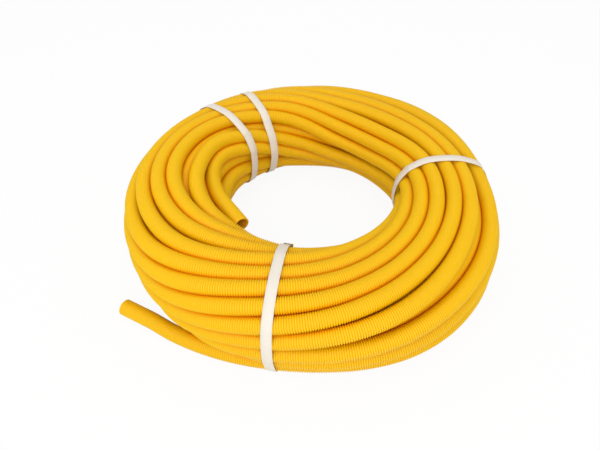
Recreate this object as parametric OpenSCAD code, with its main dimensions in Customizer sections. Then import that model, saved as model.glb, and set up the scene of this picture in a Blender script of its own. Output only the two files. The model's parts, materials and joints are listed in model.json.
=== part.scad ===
// A coil of corrugated conduit lying flat, held by four plastic straps, with
// both ends of the conduit free. Millimetres. The origin is on the coil's axis
// at the floor, and +Z points up.

/* [Conduit] */
// Outer diameter over the ribs
conduit_od = 25; // [20:0.5:32]
// Height of a rib above the groove beside it
rib_depth = 1.9; // [1.2:0.1:2.4]
// Distance from one rib to the next
rib_pitch = 3.3; // [2.8:0.1:4.5]
// Width of the flat land on top of a rib
crest_w = 1.1; // [0.9:0.1:1.3]
// Width of the flat land at the bottom of a groove
groove_w = 0.7; // [0.4:0.1:0.9]
// Thickness of the conduit's wall
wall = 0.6; // [0.4:0.05:0.65]

/* [Coil] */
// Diameter over the outermost turns
coil_od = 620; // [560:5:760]
// Diameter of the opening in the middle
coil_id = 290; // [240:5:350]
// Height over the turns, without the straps
coil_h = 150; // [125:1:190]
// Radius of the bundle's upper corners, taken through the turns' centres
top_corner = 50; // [30:1:55]
// Radius of the bundle's corners on the floor, taken the same way
floor_corner = 20; // [12:1:30]
// Least depth to which neighbouring turns press into each other
turn_press = 0.6; // [0.4:0.1:2]

/* [Outer free end] */
// Azimuth at which the last turn starts to come out of the bundle
outer_az = -94; // [-120:1:-90]
// How far inside the last turn's centre line it starts
outer_start_inset = 6; // [5:0.5:8]
// How much it heads outwards at its start
outer_lean = 2; // [1:0.5:4]
// How much it slopes down to the floor
outer_dip = 2.2; // [2:0.1:2.6]
// Radius of its bend
outer_bend_r = 520; // [450:10:640]
// How far outside the coil's outline the axis of its straight tip starts
outer_clear = 13; // [10:0.5:20]
// Ribs on its straight tip
outer_ribs = 16; // [12:1:30]

/* [Inner free end] */
// Azimuth at which the first turn leaves its lane in the bundle
inner_az = 174; // [150:1:180]
// Least gap between its straight tip and the turn below it
inner_clear = 1.2; // [0.8:0.1:2]
// How much it slopes up, past the slope that leaves that gap
inner_rise = 0.2; // [0:0.1:1]
// Angle of its bend
inner_sweep = 40; // [36:1:44]
// Share of its straight tip along which it still comes nearer to the coil's axis
inner_inward = 0.53; // [0.5:0.01:0.6]
// Ribs on its straight tip
inner_ribs = 20; // [12:1:22]
// Space left round the first turn where it has gone from its lane
lane_gap = 2; // [1:0.1:2.5]

/* [Straps] */
// Width of the strap
strap_w = 15; // [10:0.5:20]
// Thickness of the strap
strap_t = 0.8; // [0.5:0.1:1.2]
// Gap between the strap and the turns that it holds
strap_gap = 0.25; // [0.15:0.05:0.5]
// Length of the welded overlap where the strap's ends meet
weld_len = 32; // [20:1:45]
// Azimuth of the front strap
strap_front_az = -101; // [-104:1:-60]
// Azimuth of the right strap
strap_right_az = 4; // [-30:1:40]
// Azimuth of the back strap
strap_back_az = 120; // [60:1:124]
// Azimuth of the left strap
strap_left_az = 138; // [134:1:142]

/* [Hidden] */
$fn = 96;

conduit_colour = [0.98, 0.76, 0.05];
strap_colour = [0.93, 0.91, 0.88];

conduit_r = conduit_od / 2;
groove_r = conduit_r - rib_depth;
bore_r = groove_r - wall;

// The plain bends of the free ends are drawn a little slimmer than the ribs, so
// that they start inside the turn that they leave.
bend_relief = 0.4;
bend_r = conduit_r - bend_relief;

// Lowest point of the turns: they lie on the straps.
coil_base = strap_t + strap_gap;

// Path through the outer turns' centres in the bundle's section: a rectangle
// with round corners. It starts at the last turn, the outermost one that lies on
// the floor, and runs anticlockwise. Each stretch is [length, angle that it turns
// through].
path_w = (coil_od - coil_id) / 2 - conduit_od;
path_h = coil_h - conduit_od;
floor_r = min(floor_corner, path_w / 2 - 1);
top_r = min(top_corner, path_w / 2 - 1, path_h - floor_r - 1);
floor_bend = [PI * floor_r / 2, 90];
top_bend = [PI * top_r / 2, 90];
side = [path_h - floor_r - top_r, 0];
path = [
    floor_bend, side, top_bend, [path_w - 2 * top_r, 0],
    top_bend, side, floor_bend, [path_w - 2 * floor_r, 0]];
path_len = 2 * (floor_bend[0] + top_bend[0] + side[0] + path_w - top_r - floor_r);
turn_count = ceil(path_len / (conduit_od - turn_press));

last_turn = [coil_od / 2 - conduit_r - floor_r, coil_base + conduit_r];

// Displacement along a stretch of length s that turns through a, from a heading.
function stride(s, a, heading) =
    a == 0
        ? s * [cos(heading), sin(heading)]
        : s * 180 / PI / a * [sin(heading + a) - sin(heading), cos(heading) - cos(heading + a)];

// Point at length s along the path from its stretch i, which starts at p.
function path_point(s, i = 0, p = last_turn, heading = 0) =
    let (length = path[i][0], a = path[i][1])
    s < length || i == len(path) - 1
        ? p + stride(s, a * s / length, heading)
        : path_point(s - length, i + 1, p + stride(length, a, heading), heading + a);

turns = [for (i = [0:turn_count - 1]) path_point(i * path_len / turn_count)];

// The first turn lies in the bundle's upper inner corner, past its middle.
first_turn_at = floor_bend[0] + side[0] + path_w - 2 * top_r + 1.65 * top_bend[0];
first = round(first_turn_at / path_len * turn_count);
first_turn = turns[first];
turn_below = turns[first + 1];

// Section of the bundle: the round turns of its outside over a filled middle.
module bundle_section() {
    polygon(turns);
    for (turn = turns) translate(turn) circle(r = conduit_r);
}

// Wall of a straight ribbed length, from one groove's middle to another's. The
// inner surface follows the outer one at the wall's thickness, so its lands are
// wider in the grooves and narrower in the ribs.
flank_w = (rib_pitch - crest_w - groove_w) / 2;
land_shift = wall * tan(atan2(rib_depth, flank_w) / 2);

// Edge of the wall along one pitch, with the ribs' top at r_high, the grooves'
// bottom at r_low and a groove land of half width h_low.
function rib_edge(i, r_low, r_high, h_low, h_high) = [
    [r_low, i * rib_pitch + h_low],
    [r_high, (i + 0.5) * rib_pitch - h_high],
    [r_high, (i + 0.5) * rib_pitch + h_high],
    [r_low, (i + 1) * rib_pitch - h_low]];

// The outer end bends, in plan, round outer_centre, through the angle at which
// its straight tip is clear of the coil.
outer_start = last_turn.x - outer_start_inset;
outer_centre = [outer_start - outer_bend_r * cos(outer_lean), outer_bend_r * sin(outer_lean)];
outer_sweep = outer_lean + atan2(outer_centre.y, outer_centre.x) - acos(
    ((coil_od / 2 + outer_clear) ^ 2 - norm(outer_centre) ^ 2 - outer_bend_r ^ 2)
    / (2 * outer_bend_r * norm(outer_centre)));

// Height through which the outer end comes down, so that its tip is on the floor
outer_heading = outer_sweep - outer_lean;
outer_drop = sin(outer_dip) * (
    outer_bend_r * (sin(outer_heading) + sin(outer_lean))
    + outer_ribs * rib_pitch * cos(outer_heading));

// Depth to which a tip's plain shank enters the bend that carries it
shank = 4;

// The inner end bends from the first turn's circle towards the opening, so far that
// its straight tip stays inside the turn above, and climbs until the tip starts clear
// of the turn below.
inner_bend_r = first_turn.x - inner_inward * inner_ribs * rib_pitch / sin(inner_sweep);
inner_reach = inner_bend_r * sin(inner_sweep);
inner_tip_at = norm([first_turn.x - inner_bend_r * (1 - cos(inner_sweep)), inner_reach]);
inner_lift = turn_below.y - first_turn.y
    + sqrt((conduit_od + inner_clear) ^ 2 - (inner_tip_at - turn_below.x) ^ 2);
inner_slope = inner_rise + asin(inner_lift / inner_reach);

// Angle over which the inner end's bend lies in the turn that it continues
inner_root = 2;

module ribbed_tip(ribs) {
    outside = [for (i = [0:ribs - 1])
        each rib_edge(i, groove_r, conduit_r, groove_w / 2, crest_w / 2)];
    inside = [for (i = [1:ribs - 1])
        each rib_edge(i, bore_r, conduit_r - wall,
            groove_w / 2 + land_shift, crest_w / 2 - land_shift)];
    first_land = rib_pitch - groove_w / 2 - land_shift;
    rotate_extrude() polygon(concat(
        [[0, -shank], [groove_r, -shank]],
        outside,
        [[groove_r, ribs * rib_pitch], [bore_r, ribs * rib_pitch]],
        [for (i = [len(inside) - 1:-1:0]) inside[i]],
        [[bore_r, first_land], [0, first_land]]));
}

// A free end that starts at the origin heading along +Y, bends towards -X and
// ends in a straight ribbed tip.
module free_end(path_r, sweep, ribs) {
    translate([-path_r, 0, 0]) {
        rotate_extrude(angle = sweep) translate([path_r, 0]) circle(r = bend_r);
        rotate([0, 0, sweep]) translate([path_r, 0, 0]) rotate([-90, 0, 0])
            ribbed_tip(ribs);
    }
}

// Lane of the first turn, empty from its free end to the front strap.
module first_lane() {
    start = inner_az + inner_root;
    rotate([0, 0, start]) rotate_extrude(angle = strap_front_az + 360 - start)
        translate(first_turn) circle(r = conduit_r + lane_gap);
}

module conduit() {
    color(conduit_colour) {
        difference() {
            rotate_extrude() bundle_section();
            first_lane();
        }

        // The last turn runs clockwise off the coil and down to the floor.
        rotate([0, 0, outer_az])
            translate([outer_start, 0, last_turn.y + outer_drop])
            mirror([0, 1, 0]) rotate([-outer_dip, 0, 0]) rotate([0, 0, -outer_lean])
            free_end(outer_bend_r, outer_sweep, outer_ribs);

        // The first turn runs anticlockwise out of its lane, over the edge of the
        // opening.
        rotate([0, 0, inner_az]) translate([first_turn.x, 0, first_turn.y])
            rotate([inner_slope, 0, 0])
            free_end(inner_bend_r, inner_sweep, inner_ribs);
    }
}

// The outline that a strap follows at a distance from the turns.
module strap_outline(distance) {
    hull() for (turn = turns) translate(turn) circle(r = conduit_r + distance, $fn = 48);
}

// One layer of strap, as a closed band round the bundle's section.
module strap_layer(distance) {
    difference() {
        strap_outline(distance + strap_t);
        strap_outline(distance);
    }
}

// A strap pulled tight round the bundle, with its ends welded over each other on
// the side that faces the opening.
module strap(az) {
    weld_z = coil_base + coil_h - conduit_r - top_r;
    color(strap_colour) rotate([0, 0, az]) rotate([90, 0, 0])
        linear_extrude(strap_w, center = true) {
            strap_layer(strap_gap);
            intersection() {
                strap_layer(strap_gap + strap_t * 0.9);
                translate([coil_id / 2 - conduit_r, weld_z - weld_len])
                    square([conduit_od, weld_len]);
            }
        }
}

module strap_front() strap(strap_front_az);
module strap_right() strap(strap_right_az);
module strap_back() strap(strap_back_az);
module strap_left() strap(strap_left_az);

conduit();
strap_front();
strap_right();
strap_back();
strap_left();
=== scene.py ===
"""A strapped coil of corrugated conduit, wound turn by turn round its CAD frame.

The conduit's centre line runs from one free end to the other. It is laid in lanes, settled so that the turns
lie beside and on each other, and given its ribs. The straps are then pulled round the settled turns."""

import json
import math

import bpy
import numpy as np
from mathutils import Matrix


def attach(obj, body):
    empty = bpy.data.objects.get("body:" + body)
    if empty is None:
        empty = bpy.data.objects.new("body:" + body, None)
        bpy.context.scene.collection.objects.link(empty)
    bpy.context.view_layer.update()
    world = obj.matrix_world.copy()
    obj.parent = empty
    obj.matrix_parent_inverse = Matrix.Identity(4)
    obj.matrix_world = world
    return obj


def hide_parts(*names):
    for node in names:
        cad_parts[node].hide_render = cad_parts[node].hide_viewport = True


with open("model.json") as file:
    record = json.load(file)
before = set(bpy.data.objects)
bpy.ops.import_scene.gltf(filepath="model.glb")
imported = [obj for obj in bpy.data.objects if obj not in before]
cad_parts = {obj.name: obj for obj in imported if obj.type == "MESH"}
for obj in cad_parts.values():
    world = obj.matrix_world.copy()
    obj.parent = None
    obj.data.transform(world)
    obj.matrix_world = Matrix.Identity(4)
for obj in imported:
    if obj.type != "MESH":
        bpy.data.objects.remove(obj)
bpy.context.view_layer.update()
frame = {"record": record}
MOUNTS = {mount["name"]: mount for mount in frame["record"]["mounts"]}

bl_info = {
    "name": "Corrugated conduit coil",
    "version": (1, 0, 0),
    "blender": (4, 5, 0),
    "location": "View3D > Sidebar > Conduit coil",
    "description": "Winds a strapped coil of corrugated conduit round its CAD frame",
    "category": "Add Mesh",
}


# ---------------------------------------------------------------- sizes and colours


def length(name, description, default, **limits):
    """A property for a length in metres."""
    return bpy.props.FloatProperty(
        name=name, description=description, default=default, unit="LENGTH", precision=5, **limits
    )


def number(name, description, default, **limits):
    """A property for a whole number."""
    return bpy.props.IntProperty(name=name, description=description, default=default, **limits)


def colour(name, description, default):
    """A property for a colour."""
    return bpy.props.FloatVectorProperty(
        name=name, description=description, default=default, subtype="COLOR", min=0, max=1
    )


# Outer diameter of the conduit over its ribs, which a coupler grips
CONDUIT_OD = 2 * MOUNTS["outer_end_pin"]["dims"]["r_mm"] / 1000


class ConduitSizes(bpy.types.PropertyGroup):
    """Section of the conduit."""

    diameter: length("Diameter", "Outer diameter over the ribs", CONDUIT_OD, min=0.01)
    rib_depth: length("Rib depth", "Height of a rib above the groove beside it", 0.0019, min=0.0005)
    rib_pitch: length("Rib pitch", "Distance from one rib to the next", 0.0033, min=0.002)
    wall: length("Wall", "Thickness of the wall", 0.0006, min=0.0003)
    sides: number("Sides", "Points round a ring of the turns", 16, min=8)
    end_sides: number("End sides", "Points round a ring of the open ends", 32, min=8)


class WindingSizes(bpy.types.PropertyGroup):
    """How the conduit is wound into its coil."""

    slices: number("Slices", "Planes through the axis, in which the turns are settled", 180, min=90)
    turns: number("Turns", "Whole turns from one mouth to the other", 34, min=10)
    seed: number("Seed", "Seed of the turns' wander", 3)
    wander: length("Wander", "How far a turn wanders from its lane before it settles", 0.006, min=0)
    wander_reach: number("Wander reach", "Slices over which a turn's wander changes", 34, min=5)
    rounds: number("Rounds", "Rounds in which the turns settle", 300, min=1)
    smoothing: bpy.props.FloatProperty(
        name="Smoothing", description="Stiffness of the conduit as it settles", default=0.1, min=0, max=1
    )


class StrapSizes(bpy.types.PropertyGroup):
    """The plastic straps round the bundle."""

    width: length("Width", "Width of a strap", 0.015, min=0.005)
    thickness: length("Thickness", "Thickness of a strap", 0.0008, min=0.0003)
    gap: length("Gap", "Space between a strap and the turns that it holds", 0.0003, min=0)
    overlap: length("Overlap", "Length over which a strap's ends lie on each other", 0.035, min=0.01)


class Colours(bpy.types.PropertyGroup):
    """Colours of the pieces and of the floor, with the painted shade in the conduit's grooves and deep
    between its turns.
    """

    conduit: colour("Conduit", "Colour of the conduit's ribs", (0.90, 0.56, 0.001))
    # Painted shade: a darker orange painted down in the grooves, where the ribs shade each other
    groove: colour("Groove", "Colour down in the conduit's grooves", (0.83, 0.36, 0.001))
    # Painted shade: a darker orange painted where two turns lie close, standing in for the shade and bounced
    # light between them
    painted_crevice_shade: colour("Crevice", "Colour deep between two turns", (0.90, 0.33, 0.001))
    strap: colour("Strap", "Colour of the straps", (0.81, 0.75, 0.65))
    floor: colour("Floor", "Colour of the floor", (0.86, 0.86, 0.86))


class StageSizes(bpy.types.PropertyGroup):
    """Where the camera stands."""

    distance: length("Distance", "Distance from the camera to the coil's middle", 0.878, min=0.1)
    elevation: bpy.props.FloatProperty(
        name="Elevation", description="Angle at which the camera looks down", subtype="ANGLE",
        default=math.radians(42),
    )
    target: length("Target", "Height at which the camera looks", 0.0742)
    lens: bpy.props.FloatProperty(
        name="Lens", description="Focal length in millimetres", default=30.09, min=5
    )
    shift: bpy.props.FloatVectorProperty(
        name="Shift", description="Shift of the camera's frame", size=2, default=(-0.0203, -0.0445)
    )


# ---------------------------------------------------------------- the bundle's form


# The bundle's section round the coil: azimuth in degrees, then its inner radius,
# outer radius and height in metres. It is narrow under the straps and slack
# between them.
BUNDLE = (
    (4, 0.146, 0.306, 0.148),
    (40, 0.138, 0.318, 0.147),
    (80, 0.140, 0.312, 0.148),
    (120, 0.152, 0.302, 0.154),
    (138, 0.150, 0.303, 0.156),
    (180, 0.143, 0.312, 0.158),
    (220, 0.150, 0.312, 0.154),
    (259, 0.145, 0.309, 0.144),
    (300, 0.136, 0.318, 0.139),
    (335, 0.138, 0.316, 0.142),
)
# Height of the lowest turns over the floor: they lie on the straps
BASE = 0.00105
# Exponent of the superellipse that bounds the bundle's section, and the points
# on which its round is measured
SQUARENESS = 2.6
SECTION_POINTS = 721

# The straps: azimuth in degrees, how far the strap leans along the coil for each
# metre towards its outside, and how far its free end lies askew.
STRAPS = {
    "strap_front": (259, 0.055, 0.0035),
    "strap_right": (4, 0.000, -0.0010),
    "strap_back": (120, 0.000, 0.0010),
    "strap_left": (138, 0.000, -0.0010),
}

# The lanes lie in nested rings round the middle of the bundle. In order from the
# outer end: the turns wound in a ring, the share of the section's round through
# which each turn moves on, and the size of the ring.
RINGS = (
    (5, 3 / 16, 1.0),
    (13, 2 / 13, 0.62),
    (5, 1 / 5, 0.28),
    (1, 0, 0.0),
    (11, 3 / 16, 1.0),
)
# Part of a turn over which the conduit changes from one ring to the next
RING_CHANGE = 0.13
# Where in the section's round the outer end starts: 0 faces out and 1/4 faces up
OUTER_END_AT = -0.37
# The bundle is twisted as it goes round the coil: azimuth in degrees, and how
# far round the section it is turned there.
TWIST = (
    (20, 0.238),
    (50, 0.242),
    (70, 0.222),
    (115, 0.113),
    (160, 0.000),
    (190, -0.016),
    (212, 0.000),
    (255, 0.098),
    (282, 0.139),
    (343, 0.202),
)
# Places where the outermost turns stand apart: azimuth in degrees, place in the
# section's round, how far the gap runs in degrees, and its width as a share of
# the round.
PARTINGS = (
    (198, 0.13, 38, 0.030),
    (190, 0.36, 34, 0.024),
    (325, 0.02, 40, 0.040),
    (272, -0.09, 30, 0.020),
)
# Shares of the round over which the turns beside a parting move aside, and over
# which their way changes from one side of it to the other
PARTING_REACH = 0.09
PARTING_EDGE = 0.015

# Routes of the two free ends between the bundle and their straight tips: azimuth
# in degrees, radius and height in metres
OUTER_ROUTE = (
    (229, 0.3095, 0.0137),
    (238, 0.2985, 0.0137),
    (248, 0.2895, 0.0137),
    (259, 0.2835, 0.0137),
    (272, 0.2825, 0.0137),
    (286, 0.2880, 0.0137),
    (300, 0.2955, 0.0140),
    (314, 0.3015, 0.0170),
    (328, 0.3050, 0.0245),
    (342, 0.3040, 0.0340),
    (358, 0.2990, 0.0430),
)
INNER_ROUTE = (
    (106, 0.1585, 0.0640),
    (112, 0.1585, 0.0710),
    (119, 0.1585, 0.0800),
    (127, 0.1590, 0.0905),
    (134, 0.1600, 0.0990),
    (141, 0.1620, 0.1065),
    (149, 0.1665, 0.1140),
    (156, 0.1710, 0.1185),
    (164, 0.1735, 0.1205),
    (172, 0.1720, 0.1200),
    (180, 0.1680, 0.1180),
    (187, 0.1635, 0.1165),
    (194, 0.1590, 0.1160),
)
# Angle in degrees over which a free end's route fades into its lane
RELEASE = 40
# Points of a straight tip that its route takes in, and that the course does
ROUTE_TIP_POINTS = 5
COURSE_TIP_POINTS = 9
# Least angle between a tip's root and the next node, in slices
ROOT_CLEARANCE = 0.6

# As the turns settle: the share of each push that is taken in a round, the reach
# in slices over which the pushes are blurred from a share of the rounds on, and
# the reach over which the conduit smooths itself
PUSH_TAKEN = 0.45
PUSH_REACH = ((0.0, 10), (0.4, 6), (0.7, 4))
SMOOTHING_REACH = 5
# A length too short to matter, which keeps divisions from failing
TINY = 1e-9

# Directions across the section, in degrees from outward and over the top, from
# which a turn may be seen; where on the turn, in radii to the side; and how far
# ahead, in radii, another turn has to lie to stand in the way
SIGHT_LINES = range(-20, 201, 10)
SIGHT_OFFSETS = (-0.7, 0, 0.7)
SIGHT_START = 0.5


# ---------------------------------------------------------------- smooth lines


def hermite(t, start, end, leaving, arriving):
    """Points at shares t of cubic Hermite steps: a smooth blend of two places and of the ways in which the
    step leaves the first and arrives at the second."""
    return (
        (2 * t**3 - 3 * t**2 + 1) * start
        + (t**3 - 2 * t**2 + t) * leaving
        + (3 * t**2 - 2 * t**3) * end
        + (t**3 - t**2) * arriving
    )


def steps_of(knots, at):
    """Number of the step between knots in which each place lies, its span, and the share of it passed."""
    i = np.clip(np.searchsorted(knots, at, side="right") - 1, 0, len(knots) - 2)
    span = (knots[i + 1] - knots[i])[:, None]
    return i, span, (at - knots[i])[:, None] / span


def smooth_through(knots, values, at):
    """Values at the places asked for on a smooth curve through knots, whose slope at each knot is that of
    the knots beside it."""
    slopes = np.gradient(values, knots, axis=0)
    i, span, t = steps_of(knots, at)
    return hermite(t, values[i], values[i + 1], span * slopes[i], span * slopes[i + 1])


def round_the_coil(rows, azimuth):
    """Values at azimuths in degrees on smooth closed curves through the rows of a table, each row an azimuth
    and its values."""
    table = np.array(rows)
    knots = np.concatenate([table[-2:, 0] - 360, table[:, 0], table[:2, 0] + 360])
    values = np.concatenate([table[-2:, 1:], table[:, 1:], table[:2, 1:]])
    return smooth_through(knots, values, azimuth).T


def blur(values, reach):
    """The values blurred along their first axis by a bell curve of that reach, in rows."""
    bell = np.exp(-0.5 * (np.arange(-3 * reach, 3 * reach + 1) / reach) ** 2)
    bell /= bell.sum()
    padded = np.pad(values, ((3 * reach, 3 * reach), (0, 0)), mode="edge")
    return np.stack([np.convolve(column, bell, mode="valid") for column in padded.T], axis=1)


def distance_along(line):
    """Distance along a line of points, from its first to each of its points."""
    return np.concatenate([[0], np.cumsum(np.linalg.norm(np.diff(line, axis=0), axis=1))])


def round_the_section(share):
    """Points on the unit superellipse at shares of its round, 0 facing out and 1/4 up. Its points are the
    cosine and the sine of an angle, each raised to 2 / SQUARENESS with its sign kept."""
    turn = np.linspace(0, 2 * math.pi, SECTION_POINTS)
    circle = np.stack([np.cos(turn), np.sin(turn)], axis=1)
    points = np.sign(circle) * np.abs(circle) ** (2 / SQUARENESS)
    run = distance_along(points)
    at = (share % 1) * run[-1]
    return np.stack([np.interp(at, run, column) for column in points.T], axis=-1)


class Course:
    """A smooth line through points, walked by the distance along it: cubic Hermite steps between the points,
    with the slopes of their neighbours."""

    def __init__(self, points):
        self.points = points
        self.along = distance_along(points)
        self.slopes = np.gradient(points, self.along, axis=0)
        self.length = self.along[-1]

    def at(self, distance):
        """Points and unit directions at distances along the line. The direction is the step's derivative."""
        i, span, t = steps_of(self.along, distance)
        start, end = self.points[i], self.points[i + 1]
        leaving, arriving = self.slopes[i] * span, self.slopes[i + 1] * span
        way = (
            (6 * t**2 - 6 * t) * (start - end)
            + (3 * t**2 - 4 * t + 1) * leaving
            + (3 * t**2 - 2 * t) * arriving
        )
        return hermite(t, start, end, leaving, arriving), way / np.linalg.norm(way, axis=1)[:, None]


# ---------------------------------------------------------------- the winding


def azimuth_of(point):
    """Azimuth of a point in degrees, from 0 to 360."""
    return math.degrees(math.atan2(point[1], point[0])) % 360


class FreeEnd:
    """The straight tip of a free end: its mouth, the direction that it faces and its length, from its bore
    in the CAD frame."""

    def __init__(self, mount):
        self.axis = np.array(mount["axis"])
        self.straight = mount["dims"]["length_mm"] / 1000
        self.mouth = np.array(mount["pos_m"]) + self.axis * self.straight / 2

    def points(self, count):
        """Points along the tip, from its root to its mouth."""
        return self.mouth - self.axis * np.linspace(self.straight, 0, count)[:, None]


class Winding:
    """The conduit's centre line as nodes, one in each slice that it passes, each with a radius and a height.

    Node k lies at azimuth k * 360 / slices. The outer end has the first nodes and the inner end the last.
    Nodes that are whole turns apart lie in the same slice, where the turns push each other."""

    def __init__(self, conduit, sizes):
        self.radius = conduit.diameter / 2
        self.slices = sizes.slices
        self.step = 360 / sizes.slices
        self.layers = sizes.turns + 2
        self.turned = 360 * sizes.turns
        self.outer = FreeEnd(MOUNTS["outer_end_bore"])
        self.inner = FreeEnd(MOUNTS["inner_end_bore"])
        self.node = np.arange(self.layers * self.slices)
        self.degrees = self.node * self.step
        self.first = azimuth_of(self.outer.mouth) / self.step
        last = (azimuth_of(self.inner.mouth) + self.turned) / self.step
        self.used = (self.node > self.first) & (self.node < last)
        inner, outer, height = round_the_coil(BUNDLE, self.degrees % 360)
        self.middle = np.stack([(inner + outer) / 2, BASE + height / 2], axis=1)
        self.half = np.stack([(outer - inner) / 2, height / 2], axis=1) - self.radius
        self.place = self.lanes(sizes)
        self.held = self.lay_free_ends()
        self.settle(sizes)

    def by_slice(self, values):
        """Values of the nodes as a table of layers and slices."""
        return values.reshape(self.layers, self.slices, *values.shape[1:])

    def lanes(self, sizes):
        """Places of the nodes in the twisted bundle: each moves round the section at its ring's pace, steps
        from ring to ring, makes room at the partings and wanders a little."""
        travelled = (self.node - self.first) / self.slices
        turns, pace, size = (np.array(column) for column in zip(*RINGS))
        ends = np.concatenate([[0], np.cumsum(turns)])
        paced = np.interp(travelled, ends, np.concatenate([[0], np.cumsum(turns * pace)]))
        twist = round_the_coil(TWIST, self.degrees % 360)[0]
        share = OUTER_END_AT + paced + twist
        ring = np.clip(np.searchsorted(ends, travelled, side="right") - 1, 0, len(RINGS) - 1)
        scale = blur(size[ring][:, None], round(RING_CHANGE * self.slices))
        outermost = np.clip(2 * scale[:, 0] - 1, 0, 1)
        for azimuth, place, run, width in PARTINGS:
            along = (self.degrees % 360 - azimuth + 180) % 360 - 180
            drift = along / 360 * pace[0] + twist - round_the_coil(TWIST, np.array([azimuth]))[0]
            aside = (share - place - drift + 0.5) % 1 - 0.5
            strength = np.exp(-0.5 * (along / run) ** 2) * np.exp(-0.5 * (aside / PARTING_REACH) ** 2)
            share = share + width * np.tanh(aside / PARTING_EDGE) * strength * outermost
        rng = np.random.default_rng(sizes.seed)
        noise = blur(rng.standard_normal((len(self.node), 2)), sizes.wander_reach)
        noise *= sizes.wander / noise.std()
        return self.middle + scale * round_the_section(share) * self.half + noise

    def lay_free_ends(self):
        """Lays the nodes of the free ends on their straight tips and routes, and gives how firmly each node
        is held there, from 0 to 1. Past a route's end a node keeps its lane's course, set off by a fading
        share of what lies between the lane and the route at that end."""
        held = np.zeros(len(self.node))
        for end, route, turned in ((self.outer, OUTER_ROUTE, 0), (self.inner, INNER_ROUTE, self.turned)):
            tip = [(azimuth_of(p), math.hypot(p[0], p[1]), p[2]) for p in end.points(ROUTE_TIP_POINTS)]
            rows = np.array(sorted([*tip, *route]))
            rows[:, 0] += turned
            near = (self.degrees >= rows[0, 0] - RELEASE) & (self.degrees <= rows[-1, 0] + RELEASE)
            near &= self.used
            inside = np.clip(self.degrees[near], rows[0, 0], rows[-1, 0])
            beyond = np.abs(self.degrees[near] - inside) / RELEASE
            ease = 1 - beyond
            ease = ease * ease * (3 - 2 * ease)
            home = smooth_through(rows[:, 0], rows[:, 1:], inside)
            lane_end = np.stack([np.interp(inside, self.degrees, column) for column in self.place.T], axis=1)
            faded = self.place[near] + ease[:, None] * (home - lane_end)
            self.place[near] = np.where(beyond[:, None] > 0, faded, home)
            held[near] = ease
        return held

    def settle(self, sizes):
        """Rounds in which turns that overlap in a slice push each other apart, and the floor and the
        bundle's outline push back. The pushes are blurred along the conduit, which keeps its course as
        smooth as a stiff tube's, and a node moves only as far as it isn't held."""
        used = self.by_slice(self.used)
        pairs = used[:, None] & used[None] & ~np.eye(self.layers, dtype=bool)[..., None]
        start, free = self.place, 1 - self.held[:, None]
        moved = np.zeros_like(start)
        for i in range(sizes.rounds):
            x = start + free * moved
            layered = self.by_slice(x)
            apart = layered[:, None] - layered[None]
            distance = np.sqrt((apart**2).sum(axis=-1)) + TINY
            deep = pairs * np.clip(2 * self.radius - distance, 0, None) / distance
            push = (deep[..., None] * apart).sum(axis=1).reshape(-1, 2)
            spot = (x - self.middle) / self.half
            bound = (np.abs(spot) ** SQUARENESS).sum(axis=1) ** (1 / SQUARENESS)
            push -= (x - self.middle) * np.clip(1 - 1 / np.maximum(bound, TINY), 0, None)[:, None]
            push[:, 1] += np.clip(BASE + self.radius - x[:, 1], 0, None)
            reach = [reach for since, reach in PUSH_REACH if i / sizes.rounds >= since][-1]
            moved += PUSH_TAKEN * blur(push * free * self.used[:, None], reach)
            moved += sizes.smoothing * (blur(moved, SMOOTHING_REACH) - moved)
        self.place = start + free * moved

    def between_tips(self):
        """Nodes from one straight tip's root to the other's, without those too close to a root."""
        outer_root, inner_root = (end.points(2)[0] for end in (self.outer, self.inner))
        start = azimuth_of(outer_root) + ROOT_CLEARANCE * self.step
        stop = azimuth_of(inner_root) + self.turned - ROOT_CLEARANCE * self.step
        return np.flatnonzero((self.degrees > start) & (self.degrees < stop))

    def course(self):
        """The whole centre line from the outer mouth to the inner one: the straight tips, and between them
        the nodes turned to their azimuths."""
        azimuth = np.radians(self.degrees % 360)
        radius, height = self.place.T
        spots = np.stack([radius * np.cos(azimuth), radius * np.sin(azimuth), height], axis=1)
        outer, inner = (end.points(COURSE_TIP_POINTS) for end in (self.outer, self.inner))
        return Course(np.concatenate([outer[::-1], spots[self.between_tips()], inner]))

    def exposed(self):
        """Nodes that can be seen: from some point of their round, a ray straight out in the slice passes all
        other turns and doesn't go down into the floor."""
        layered, used = self.by_slice(self.place), self.by_slice(self.used)
        away = layered[None] - layered[:, None]
        seen = np.zeros(used.shape, bool)
        for angle in np.radians(SIGHT_LINES):
            ray = np.array([math.cos(angle), math.sin(angle)])
            side = np.array([-ray[1], ray[0]])
            ahead = away @ ray > SIGHT_START * self.radius
            for offset in SIGHT_OFFSETS:
                across = np.abs(away @ side - offset * self.radius) < self.radius
                seen |= ~(ahead & across & used[None]).any(axis=1)
        return (seen & used).reshape(-1)

    def room(self, points):
        """Distance from each point on the conduit to the surface of the next turn. The centre lines of all
        turns are cut at the point's azimuth: the nearest is the point's own, and the second is its
        neighbour."""
        turn = np.degrees(np.arctan2(points[:, 1], points[:, 0])) % 360 / self.step
        slice_before = np.minimum(turn.astype(int), self.slices - 1)
        node = slice_before[:, None] + self.slices * np.arange(self.layers - 1)
        part = (turn - slice_before)[:, None, None]
        centre = (1 - part) * self.place[node] + part * self.place[node + 1]
        here = np.stack([np.hypot(points[:, 0], points[:, 1]), points[:, 2]], axis=1)
        distance = np.hypot(*np.moveaxis(centre - here[:, None], -1, 0))
        distance[~self.used[node]] = np.inf
        return np.partition(distance, 1, axis=1)[:, 1] - self.radius


def values_of(group):
    """Names and values of a property group."""
    keys = [key for key in group.bl_rna.properties.keys() if key not in ("rna_type", "name")]
    return tuple((key, getattr(group, key)) for key in keys)


# The last winding, under the values that it was made from
WOUND = {}


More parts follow.
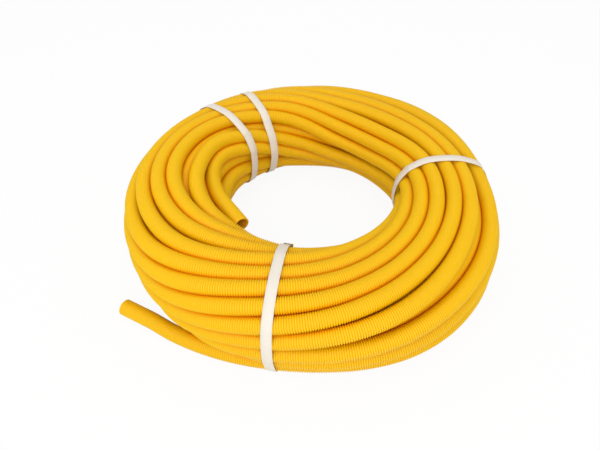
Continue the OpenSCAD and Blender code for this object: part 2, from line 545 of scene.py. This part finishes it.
def winding():
    """The settled winding, made anew when a size has changed."""
    groups = bpy.context.scene.conduit_sizes, bpy.context.scene.winding_sizes
    key = tuple(values_of(group) for group in groups)
    if key not in WOUND:
        WOUND.clear()
        WOUND[key] = Winding(*groups)
    return WOUND[key]


# ---------------------------------------------------------------- meshes


def mesh_object(name, points, quads, fans=(), attributes=None):
    """A mesh object of smooth quads and flat closing faces, each face a list of corner numbers, with a
    number for each point under the name of each attribute."""
    mesh = bpy.data.meshes.new(name)
    corners = np.concatenate([np.asarray(quads).reshape(-1), *fans]).astype(np.int32)
    sizes = np.concatenate([np.full(len(quads), 4), [len(fan) for fan in fans]]).astype(np.int32)
    mesh.vertices.add(len(points))
    mesh.vertices.foreach_set("co", np.asarray(points, np.float32).reshape(-1))
    mesh.loops.add(len(corners))
    mesh.loops.foreach_set("vertex_index", corners)
    mesh.polygons.add(len(sizes))
    mesh.polygons.foreach_set("loop_start", np.concatenate([[0], np.cumsum(sizes)[:-1]]).astype(np.int32))
    mesh.polygons.foreach_set("use_smooth", np.arange(len(sizes)) < len(quads))
    for key, values in (attributes or {}).items():
        layer = mesh.attributes.new(key, "FLOAT", "POINT")
        layer.data.foreach_set("value", np.asarray(values, np.float32).reshape(-1))
    mesh.update(calc_edges=True)
    mesh.validate()
    piece = bpy.data.objects.new(name, mesh)
    bpy.context.collection.objects.link(piece)
    return piece


def ring_mesh(name, rings, attributes):
    """A closed mesh of rings of points: quads join each ring to the next, and a flat face closes each end."""
    count, sides = rings.shape[:2]
    ring, step = np.arange(count - 1)[:, None] * sides, np.arange(sides)[None]
    after = (step + 1) % sides
    quads = np.stack([ring + step, ring + sides + step, ring + sides + after, ring + after], axis=-1)
    ends = [np.arange(sides), (count - 1) * sides + np.arange(sides)[::-1]]
    return mesh_object(name, rings.reshape(-1, 3), quads.reshape(-1, 4), ends, attributes)


# ---------------------------------------------------------------- the conduit


# Most triangles in one stretch of conduit
STRETCH_TRIANGLES = 180000
# Half the flat crest of a rib on the turns, as a share of the pitch
HALF_CREST = 1 / 6
# Rings of a rib on the turns, and the ribs that share one ring where they are
# hidden
RIB_RINGS = 3
HIDDEN_RIBS = 5
# Nodes that get their ribs round a visible one, itself included
RIBBED_NODES = 3
# How far a stretch's first ring may lie before its groove, in pitches
GROOVE_MARGIN = 0.1

# An open end: the depth to which the wall's inner side is made, half a flat crest
# and half a flat groove in pitches, how far the inner lands shift in walls, how
# far the root runs on into the turns in pitches, and how much of the crests'
# colour the inside keeps, the rest being painted shade inside the mouth
OPEN_DEPTH = 0.045
END_HALF_CREST = 0.18
END_HALF_GROOVE = 0.09
LAND_SHIFT = 0.3
ROOT_OVERLAP = 0.3
INSIDE_RIB = 0.4


def conduit_tube(name, course, along, radii, ribs, sides):
    """A closed tube of rings on a course. The ring at each distance along is a circle of its radius, square
    to the course. Its points carry their height on the rib and the room to the next turn."""
    centre, way = course.at(along)
    side = np.cross(way, [0, 0, 1.0])
    side /= np.linalg.norm(side, axis=1)[:, None]
    over = np.cross(side, way)
    turn = np.linspace(0, 2 * math.pi, sides, endpoint=False)[None, :, None]
    round_way = np.cos(turn) * side[:, None] + np.sin(turn) * over[:, None]
    rings = centre[:, None] + radii[:, None, None] * round_way
    # The rib height and the room to the next turn are the masks of the painted shade in the grooves and
    # between turns
    attributes = {"rib": np.repeat(ribs, sides), "room": winding().room(rings.reshape(-1, 3))}
    return ring_mesh(name, rings, attributes)


def rib_rings(start, stop, pitch, conduit, visible):
    """Distances, radii and heights on the rib (0 in a groove, 1 on a crest) of the rings between two
    distances. Each rib has a ring at both edges of its flat crest and one in the groove after it. Where the
    conduit is hidden, a few ribs share one ring."""
    crest, groove = conduit.diameter / 2, conduit.diameter / 2 - conduit.rib_depth
    rib = np.arange(math.floor(start / pitch), math.ceil(stop / pitch) + 1)
    middle = (rib[:, None] - 0.5) * pitch
    along = (middle + np.array([-HALF_CREST, HALF_CREST, 1 / 2]) * pitch).reshape(-1)
    radii = np.tile([crest, crest, groove], len(rib))
    height = np.tile([1.0, 1.0, 0.0], len(rib))
    few = np.arange(len(along)) % (RIB_RINGS * HIDDEN_RIBS) == 0
    keep = (along > start) & (along < stop) & (few | visible(along))
    return along[keep], radii[keep], height[keep]


def under_straps(coil, nodes, at_node):
    """Distances along the course at which the conduit passes under the middle of a strap."""
    distances = []
    for azimuth, lean, _ in STRAPS.values():
        k = round(azimuth / coil.step)
        here = nodes % coil.slices == k
        radius = coil.place[nodes[here], 0]
        leaned = lean * (radius - radius.max())
        distances.append(at_node[here] + math.radians(azimuth - k * coil.step) * radius + leaned)
    return np.sort(np.concatenate(distances))


def conduit_stretches(course):
    """The conduit between its straight tips, as closed stretches that meet in grooves under the straps. A
    whole number of ribs fits between the mouths, so the ribs run on from both tips."""
    coil = winding()
    conduit = bpy.context.scene.conduit_sizes
    nodes = coil.between_tips()
    at_node = course.along[COURSE_TIP_POINTS:-COURSE_TIP_POINTS]
    ribbed = np.convolve(coil.exposed().astype(float), np.ones(RIBBED_NODES), mode="same")[nodes] > 0

    def visible(along):
        return np.interp(along, at_node, ribbed.astype(float)) > 0

    pitch = course.length / round(course.length / conduit.rib_pitch)
    start, stop = ((end.straight // pitch - GROOVE_MARGIN) * pitch for end in (coil.outer, coil.inner))
    along, radii, height = rib_rings(start, course.length - stop, pitch, conduit, visible)
    grooves = np.flatnonzero(height == 0)
    under = np.searchsorted(along, under_straps(coil, nodes, at_node))
    under = grooves[np.searchsorted(grooves, under[under < grooves[-1]])]
    count = math.ceil(2 * conduit.sides * len(along) / STRETCH_TRIANGLES)
    even = np.arange(1, count) * len(along) // count
    cuts = [0, *under[np.abs(under[None] - even[:, None]).argmin(axis=1)], len(along) - 1]
    parts = [slice(first, last + 1) for first, last in zip(cuts, cuts[1:])]
    return [
        conduit_tube(f"conduit_stretch_{i}", course, along[part], radii[part], height[part], conduit.sides)
        for i, part in enumerate(parts, 1)
    ]


def open_end(name, course, end):
    """A straight tip with its open mouth, cut in the middle of a groove. The outer ribs run from the mouth
    to the root, and the wall's inner side runs back from the mouth, a wall's thickness inside them, to a
    closed bottom."""
    conduit = bpy.context.scene.conduit_sizes
    pitch, wall = conduit.rib_pitch, conduit.wall
    crest, groove = conduit.diameter / 2, conduit.diameter / 2 - conduit.rib_depth
    rib_starts = np.arange(0, end.straight - pitch, pitch)[:, None]
    lands = np.array([END_HALF_GROOVE, 1 / 2 - END_HALF_CREST, 1 / 2 + END_HALF_CREST, 1 - END_HALF_GROOVE])
    outside = (rib_starts + lands * pitch).reshape(-1)
    inside = (rib_starts + lands * pitch + np.array([1, 1, -1, -1]) * LAND_SHIFT * wall).reshape(-1)
    outside_radius = np.tile([groove, crest, crest, groove], len(rib_starts))
    deep = inside < OPEN_DEPTH
    inside, inside_radius = inside[deep][::-1], (outside_radius - wall)[deep][::-1]
    along = np.concatenate([inside, [0, 0], outside, [end.straight + ROOT_OVERLAP * pitch]])
    radii = np.concatenate([inside_radius, [groove - wall, groove], outside_radius, [groove]])
    height = (radii - groove + wall) / (crest - groove + wall)
    # Painted shade inside the mouth: the wall's inner side keeps only a share of its rib height, so it takes
    # more of the darker groove colour
    height[: len(inside) + 1] *= INSIDE_RIB
    if end is winding().inner:
        along, radii, height = (course.length - along)[::-1], radii[::-1], height[::-1]
    return conduit_tube(name, course, along, radii, height, conduit.end_sides)


# ---------------------------------------------------------------- the straps


# Points of a strap's line once round the bundle, and the direction across the
# section, in degrees from outward and over the top, at which its free end lies
STRAP_POINTS = 360
STRAP_END = 138
# Points over which a strap's line is blurred, and how much of the most that the
# blur took off is let out again
STRAP_BLUR = 5
STRAP_LET_OUT = 0.6
# A strap's free end: the space under it, the length over which the strap comes
# down to the bundle past the overlap, how far the tip curls up and over what
# length, and the length over which it lies askew
LAYER_GAP = 0.0001
STEP_DOWN = 0.010
CURL = 0.0012
CURL_LENGTH = 0.012
ASKEW_LENGTH = 0.030


def strap_loop(azimuth, gap):
    """The closed line of a strap's inner side in the section at an azimuth, as points and outward
    directions.

    The line's reach in a direction is that of the furthest turn, blurred over a few degrees. A point follows
    from the reach h as h * n + h' * t, with n the direction, t square to it and h' the change of h with the
    angle."""
    coil = winding()
    k = round(azimuth / coil.step)
    place, used = coil.by_slice(coil.place), coil.by_slice(coil.used)
    turns = np.concatenate([place[used[:, j], j] for j in ((k + d) % coil.slices for d in (-1, 0, 1))])
    turn = math.radians(STRAP_END) + np.linspace(0, 2 * math.pi, STRAP_POINTS, endpoint=False)
    normal = np.stack([np.cos(turn), np.sin(turn)], axis=1)
    ahead = np.stack([-np.sin(turn), np.cos(turn)], axis=1)
    once = slice(STRAP_POINTS, 2 * STRAP_POINTS)
    furthest = (normal @ turns.T).max(axis=1) + coil.radius + gap
    reach = blur(np.tile(furthest, 3)[:, None], STRAP_BLUR)[once, 0]
    reach += (furthest - reach).max() * STRAP_LET_OUT
    change = np.gradient(np.tile(reach, 3), turn[1] - turn[0])[once]
    return reach[:, None] * normal + change[:, None] * ahead, normal


def strap(name, azimuth, lean, askew):
    """A band of plastic strap: a thin rectangle with broken edges, carried once round the bundle and on
    under its own free end, which lies on top on the side of the opening."""
    sizes = bpy.context.scene.strap_sizes
    loop, outward = strap_loop(azimuth, sizes.gap)
    under = np.arange(np.searchsorted(distance_along(loop)[1:], sizes.overlap) + 1)
    line, outward = np.concatenate([loop, loop[under]]), np.concatenate([outward, outward[under]])
    run = distance_along(line)
    on_top = np.clip((sizes.overlap + STEP_DOWN - run) / STEP_DOWN, 0, 1)
    lift = on_top * (sizes.thickness + LAYER_GAP) + CURL * np.clip(1 - run / CURL_LENGTH, 0, 1) ** 2
    sideways = lean * (line[:, 0] - line[:, 0].max()) + askew * np.clip(1 - run / ASKEW_LENGTH, 0, 1)
    a = math.radians(azimuth)
    out_and_up = np.array([[math.cos(a), math.sin(a), 0], [0, 0, 1.0]])
    across = np.array([-math.sin(a), math.cos(a), 0])
    thick, half, edge = sizes.thickness, sizes.width / 2, sizes.thickness / 4
    corners = (
        (0, edge - half), (0, half - edge), (edge, half), (thick - edge, half),
        (thick, half - edge), (thick, edge - half), (thick - edge, -half), (edge, -half),
    )

    def row(height, side):
        """One corner of the band's section all along it, raised where the band would go into the floor."""
        flat = line + outward * (lift + height)[:, None]
        flat[:, 1] = np.maximum(flat[:, 1], thick - height)
        return flat @ out_and_up + across * (sideways + side)[:, None]

    rings = np.stack([row(height, side) for height, side in corners], axis=1)
    attributes = {
        "along": np.repeat(run, len(corners)),
        "across": np.tile([side for _, side in corners], len(line)),
    }
    return ring_mesh(name, rings, attributes)


# ---------------------------------------------------------------- materials


# Depth that a height of 1 stands for in the surface's fine relief
BUMP_DEPTH = 0.0003


class Nodes:
    """A node tree, with the one way in which nodes are added to it."""

    def __init__(self, tree):
        self.tree = tree

    def put(self, value, socket):
        """Links a value to a socket, or gives the socket a plain number or colour."""
        if isinstance(value, Value):
            self.tree.links.new(value.socket, socket)
        else:
            socket.default_value = value

    def add(self, kind, settings=None, inputs=None, output=0):
        """Adds a node, makes its settings, then puts its inputs, and gives one of its outputs."""
        node = self.tree.nodes.new(kind)
        for key, setting in (settings or {}).items():
            setattr(node, key, setting)
        for key, value in (inputs or {}).items():
            self.put(value, node.inputs[key])
        return Value(self, node.outputs[output])


class Value:
    """A node's output, on which Python's operators build Math nodes."""

    def __init__(self, nodes, socket):
        self.nodes, self.socket = nodes, socket

    def math(self, operation, *numbers):
        return self.nodes.add("ShaderNodeMath", {"operation": operation}, dict(enumerate(numbers)))

    def __add__(self, other):
        return self.math("ADD", self, other)

    def __radd__(self, other):
        return self.math("ADD", other, self)

    def __sub__(self, other):
        return self.math("SUBTRACT", self, other)

    def __rsub__(self, other):
        return self.math("SUBTRACT", other, self)

    def __mul__(self, other):
        return self.math("MULTIPLY", self, other)

    def __rmul__(self, other):
        return self.math("MULTIPLY", other, self)

    def sine(self):
        return self.math("SINE", self)

    def or_more(self, other):
        """The larger of two values."""
        return self.math("MAXIMUM", self, other)


class Material(Nodes):
    """A node material on one Principled shader, whose constants are on the shader's own sockets."""

    def __init__(self, name, constants):
        self.material = bpy.data.materials.new(name)
        self.material.use_nodes = True
        super().__init__(self.material.node_tree)
        self.shader = self.tree.nodes["Principled BSDF"]
        for socket, constant in constants.items():
            self.feed(socket, constant)

    def feed(self, socket, value):
        """Puts a value on a socket of the shader."""
        self.put(value, self.shader.inputs[socket])

    def attribute(self, name):
        """A number that each point of the mesh carries."""
        return self.add("ShaderNodeAttribute", {"attribute_name": name}, output="Fac")

    def noise(self, scale, detail):
        """Noise from 0 to 1 in the piece's own space, with about that many blotches a metre."""
        place = self.add("ShaderNodeTexCoord", output="Object")
        return self.add("ShaderNodeTexNoise", inputs={"Vector": place, "Scale": scale, "Detail": detail})

    def mix(self, share, first, second):
        """A colour that goes from the first, a plain one, to the second, a plain one or a value."""
        second = second if isinstance(second, Value) else (*second, 1)
        inputs = {0: share, 6: (*first, 1), 7: second}
        return self.add("ShaderNodeMix", {"data_type": "RGBA"}, inputs, output=2)

    def bump(self, height, strength):
        """A normal from a height from 0 to 1 on the surface."""
        inputs = {"Height": height, "Strength": strength, "Distance": BUMP_DEPTH}
        return self.add("ShaderNodeBump", inputs=inputs)


def darker(share, colour):
    """A colour at a share of its brightness."""
    return tuple(share * c for c in colour)


def conduit_material():
    """Satin yellow plastic: bright on the crests, with painted shade that makes it deeper in the grooves and
    deepest between two turns, and a faint uneven tone and scuffs."""
    colours = bpy.context.scene.coil_colours
    plastic = Material("conduit_plastic", {"IOR": 1.5, "Specular IOR Level": 0.2})
    tone = plastic.noise(scale=9.0, detail=3.0)
    scuffs = plastic.noise(scale=260.0, detail=2.0)
    crest = plastic.mix(tone, darker(0.94, colours.conduit), colours.conduit)
    # Painted shade in the grooves: the rib's height blends the crest colour down to the darker groove colour
    ribbed = plastic.mix(plastic.attribute("rib"), colours.groove, crest)
    # Painted shade between turns: where the room to the next turn is small, the colour goes to the darker
    # crevice shade
    room = plastic.attribute("room")
    limits = {"Value": room, "From Min": -0.001, "From Max": 0.007, "To Min": 0.0, "To Max": 1.0}
    clear_of_painted_shade = plastic.add("ShaderNodeMapRange", {"interpolation_type": "SMOOTHSTEP"}, limits)
    plastic.feed("Base Color", plastic.mix(clear_of_painted_shade, colours.painted_crevice_shade, ribbed))
    plastic.feed("Roughness", 0.42 + 0.16 * scuffs)
    plastic.feed("Normal", plastic.bump(scuffs, strength=0.12))
    return plastic.material


# Distance between the ridges pressed into a strap
STRAP_RIDGES = 0.0016


def strap_material():
    """Off-white plastic strap with a waffle of fine crossing ridges: the product of two sines, one of the
    sum of the distances along and across the strap and one of their difference."""
    colours = bpy.context.scene.coil_colours
    plastic = Material("strap_plastic", {"IOR": 1.5})
    waves = 2 * math.pi / STRAP_RIDGES
    along, across = plastic.attribute("along") * waves, plastic.attribute("across") * waves
    waffle = (along + across).sine() * (along - across).sine()
    tone = plastic.noise(scale=40.0, detail=3.0)
    plastic.feed("Base Color", plastic.mix(tone, darker(0.93, colours.strap), colours.strap))
    plastic.feed("Roughness", 0.38 + 0.15 * tone)
    plastic.feed("Normal", plastic.bump(waffle, strength=0.35))
    return plastic.material


# ---------------------------------------------------------------- the stage


# Half the side of the square floor
FLOOR_REACH = 4
# Share of plain white in the floor where it is seen; the rest shows its shadows
FLOOR_WHITE = 0.92
# Strength of the world's light on the scene; where the world is seen it is 1
WORLD_LIGHT = 0.72
WHITE = (1, 1, 1, 1)
# The soft lights: name, place, side of the square light and power in watts
LIGHTS = (
    ("key", (-0.9, -1.1, 1.7), 1.4, 8),
    ("front", (0.2, -1.85, 1.20), 1.6, 16),
    ("top", (0.1, 0.3, 2.0), 1.6, 6),
)
# The point that the lights face, in the middle of the coil
LIT_POINT = (0, 0, 0.07)
# Width of the camera's sensor in millimetres, and the least distance that it sees
SENSOR_WIDTH = 36
NEAREST_SEEN = 0.01


def seen_directly(nodes):
    """1 for what the camera sees, itself or in gloss or glass, and 0 for what only lights the scene."""
    rays = ("Is Camera Ray", "Is Glossy Ray", "Is Transmission Ray")
    camera, glossy, transmission = (nodes.add("ShaderNodeLightPath", output=ray) for ray in rays)
    return camera.or_more(glossy).or_more(transmission)


def floor_material():
    """Matt pale floor, lifted to white where it is seen, under its own shadows."""
    colours = bpy.context.scene.coil_colours
    constants = {"Base Color": (*colours.floor, 1), "Roughness": 0.9, "Specular IOR Level": 0.1}
    floor = Material("floor", constants)
    shaded = Value(floor, floor.shader.outputs["BSDF"])
    white = floor.add("ShaderNodeEmission", inputs={"Color": WHITE, "Strength": 1.0})
    lifted = FLOOR_WHITE * seen_directly(floor)
    both = floor.add("ShaderNodeMixShader", inputs={0: lifted, 1: shaded, 2: white})
    floor.put(both, floor.tree.nodes["Material Output"].inputs["Surface"])
    return floor.material


def studio_world():
    """A plain soft world, white where it is seen."""
    world = bpy.data.worlds.new("studio")
    world.use_nodes = True
    nodes = Nodes(world.node_tree)
    background = world.node_tree.nodes["Background"]
    nodes.put(WHITE, background.inputs["Color"])
    nodes.put(WORLD_LIGHT + (1 - WORLD_LIGHT) * seen_directly(nodes), background.inputs["Strength"])
    return world


def soft_light(name, place, size, power):
    """A square area light that faces the coil."""
    light = bpy.data.lights.new(name, "AREA")
    light.energy, light.size = power, size
    lamp = bpy.data.objects.new(name, light)
    bpy.context.collection.objects.link(lamp)
    lamp.location = place
    x, y, z = np.array(LIT_POINT) - np.array(place)
    lamp.rotation_euler = (math.atan2(math.hypot(x, y), -z), 0, math.atan2(y, x) - math.pi / 2)


def place_camera(stage):
    """A camera in front of the coil that looks down on it."""
    camera = bpy.data.objects.new("camera", bpy.data.cameras.new("camera"))
    bpy.context.collection.objects.link(camera)
    camera.data.lens = stage.lens
    camera.data.sensor_width = SENSOR_WIDTH
    camera.data.clip_start = NEAREST_SEEN
    camera.data.shift_x, camera.data.shift_y = stage.shift
    away, above = stage.distance * math.cos(stage.elevation), stage.distance * math.sin(stage.elevation)
    camera.location = (0, -away, stage.target + above)
    camera.rotation_euler = (math.pi / 2 - stage.elevation, 0, 0)
    bpy.context.scene.camera = camera


# ---------------------------------------------------------------- operators


def finish(piece, material, node):
    """Gives a piece its material, ties it to the body and hides the CAD node that it stands for."""
    piece.data.materials.append(material)
    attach(piece, "root")
    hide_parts(node)


class COIL_OT_stage(bpy.types.Operator):
    """Lay the floor, hang the soft lights and place the camera"""

    bl_idname = "coil.stage"
    bl_label = "Stage"

    def execute(self, context):
        context.scene.view_settings.view_transform = "Standard"
        r = FLOOR_REACH
        floor = mesh_object("floor", [(-r, -r, 0), (r, -r, 0), (r, r, 0), (-r, r, 0)], [(0, 1, 2, 3)])
        floor.data.materials.append(floor_material())
        context.scene.world = studio_world()
        for name, place, size, power in LIGHTS:
            soft_light(name, place, size, power)
        place_camera(context.scene.stage_sizes)
        return {"FINISHED"}


class COIL_OT_conduit(bpy.types.Operator):
    """Wind the conduit and make its stretches and its two open ends"""

    bl_idname = "coil.conduit"
    bl_label = "Conduit"

    def execute(self, context):
        coil = winding()
        course = coil.course()
        pieces = conduit_stretches(course)
        pieces.append(open_end("conduit_outer_end", course, coil.outer))
        pieces.append(open_end("conduit_inner_end", course, coil.inner))
        material = conduit_material()
        for piece in pieces:
            finish(piece, material, "conduit")
        return {"FINISHED"}


class COIL_OT_straps(bpy.types.Operator):
    """Pull the straps round the wound bundle"""

    bl_idname = "coil.straps"
    bl_label = "Straps"

    def execute(self, context):
        material = strap_material()
        for node, (azimuth, lean, askew) in STRAPS.items():
            finish(strap(node + "_band", azimuth, lean, askew), material, node)
        return {"FINISHED"}


class VIEW3D_PT_coil(bpy.types.Panel):
    """Panel with the coil's sizes and the buttons that make it"""

    bl_label = "Conduit coil"
    bl_space_type = "VIEW_3D"
    bl_region_type = "UI"
    bl_category = "Conduit coil"

    def draw(self, context):
        for name in GROUPS:
            group = getattr(context.scene, name)
            box = self.layout.box()
            for key, _ in values_of(group):
                box.prop(group, key)
        for operator in OPERATORS:
            self.layout.operator(operator.bl_idname)


GROUPS = {
    "conduit_sizes": ConduitSizes,
    "winding_sizes": WindingSizes,
    "strap_sizes": StrapSizes,
    "coil_colours": Colours,
    "stage_sizes": StageSizes,
}
OPERATORS = (COIL_OT_stage, COIL_OT_conduit, COIL_OT_straps)
CLASSES = (*GROUPS.values(), *OPERATORS, VIEW3D_PT_coil)


def register():
    for cls in CLASSES:
        bpy.utils.register_class(cls)
    for name, group in GROUPS.items():
        setattr(bpy.types.Scene, name, bpy.props.PointerProperty(type=group))


def unregister():
    for name in GROUPS:
        delattr(bpy.types.Scene, name)
    for cls in reversed(CLASSES):
        bpy.utils.unregister_class(cls)


def main():
    register()
    bpy.ops.coil.stage()
    bpy.ops.coil.conduit()
    bpy.ops.coil.straps()


if __name__ == "__main__":
    main()
